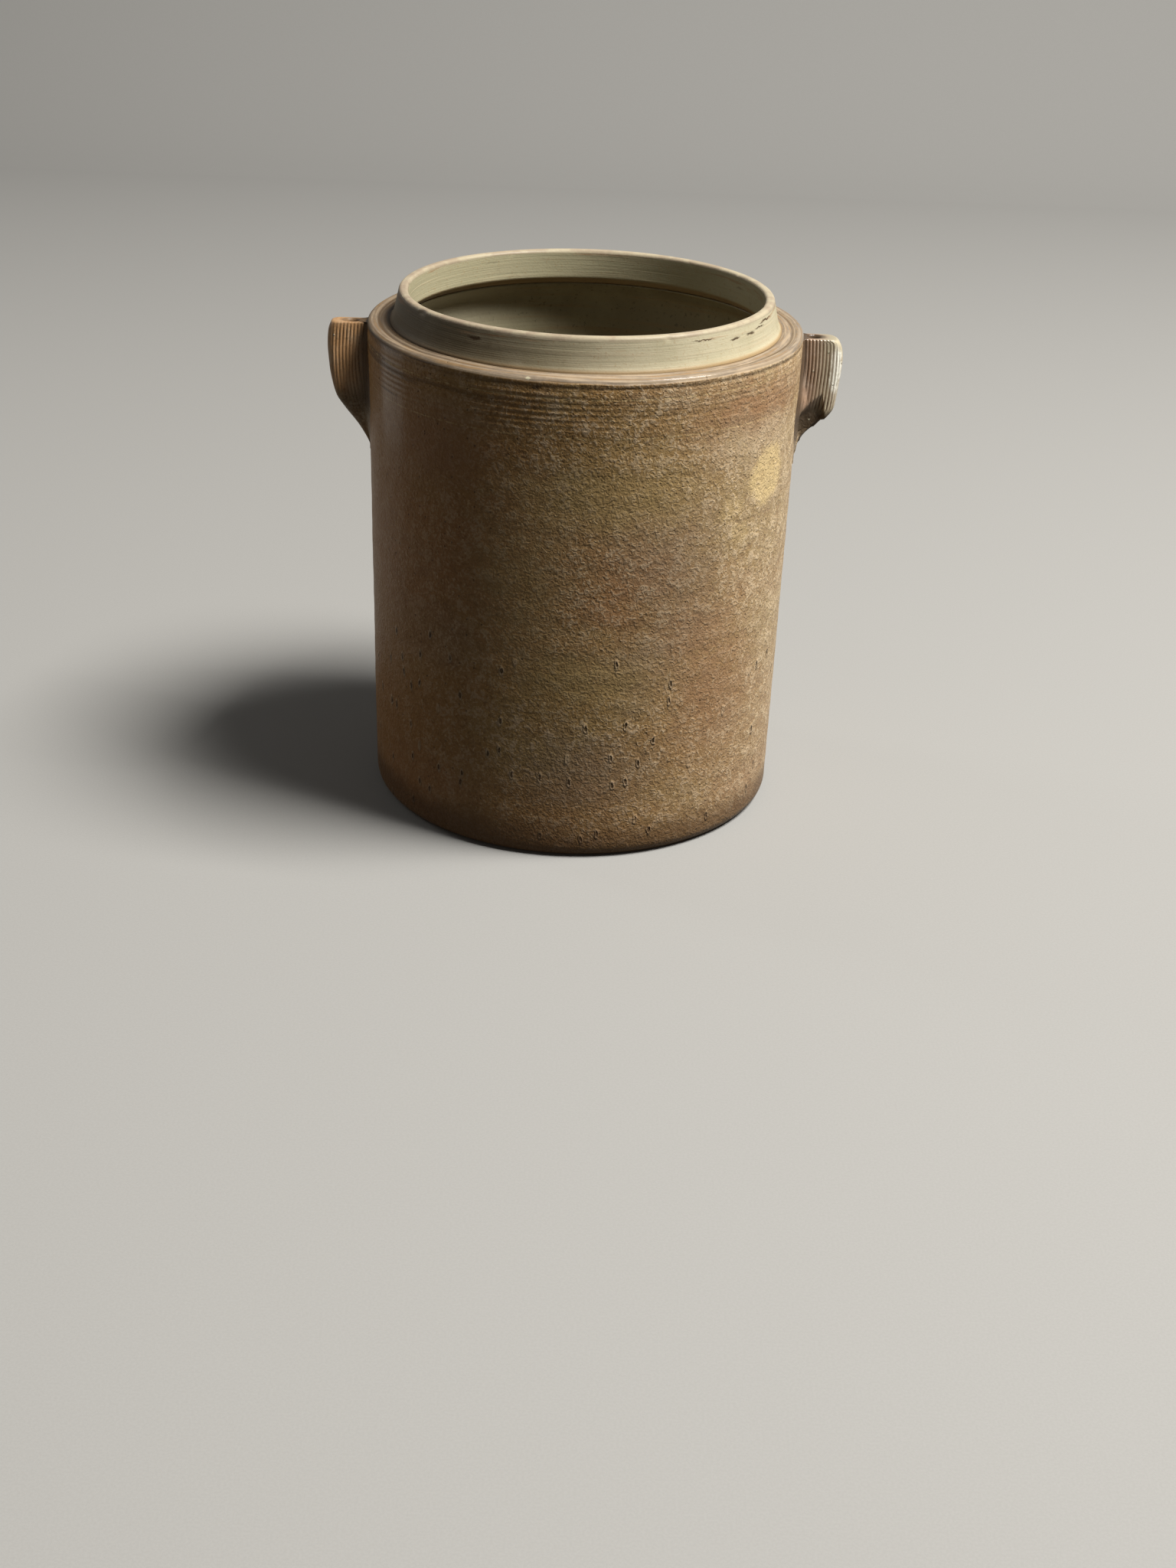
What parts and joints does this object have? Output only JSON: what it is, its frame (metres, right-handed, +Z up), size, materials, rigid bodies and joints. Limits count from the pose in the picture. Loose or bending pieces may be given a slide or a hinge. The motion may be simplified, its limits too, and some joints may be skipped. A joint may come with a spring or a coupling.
{
  "type": "butter crock",
  "caption": "Tall round stoneware storage crock with a shoulder ledge, a raised lid collar and pierced ribbed ears for a tie-down cord.",
  "frame": {"origin": "centre of the resting face under the foot", "axes": "+Z up along the body's axis, +X through the right ear, -Y towards the front"},
  "size_m": [0.286, 0.24, 0.2913],
  "materials": {
    "salt_glazed_body": "satin",
    "pale_collar": "matte",
    "toasted_ear": "satin",
    "dark_ear": "gloss"
  },
  "bodies": {
    "root": {"crock_body": "salt_glazed_body", "lid_collar": "pale_collar", "left_ear": "toasted_ear", "right_ear": "dark_ear"}
  },
  "joints": []
}
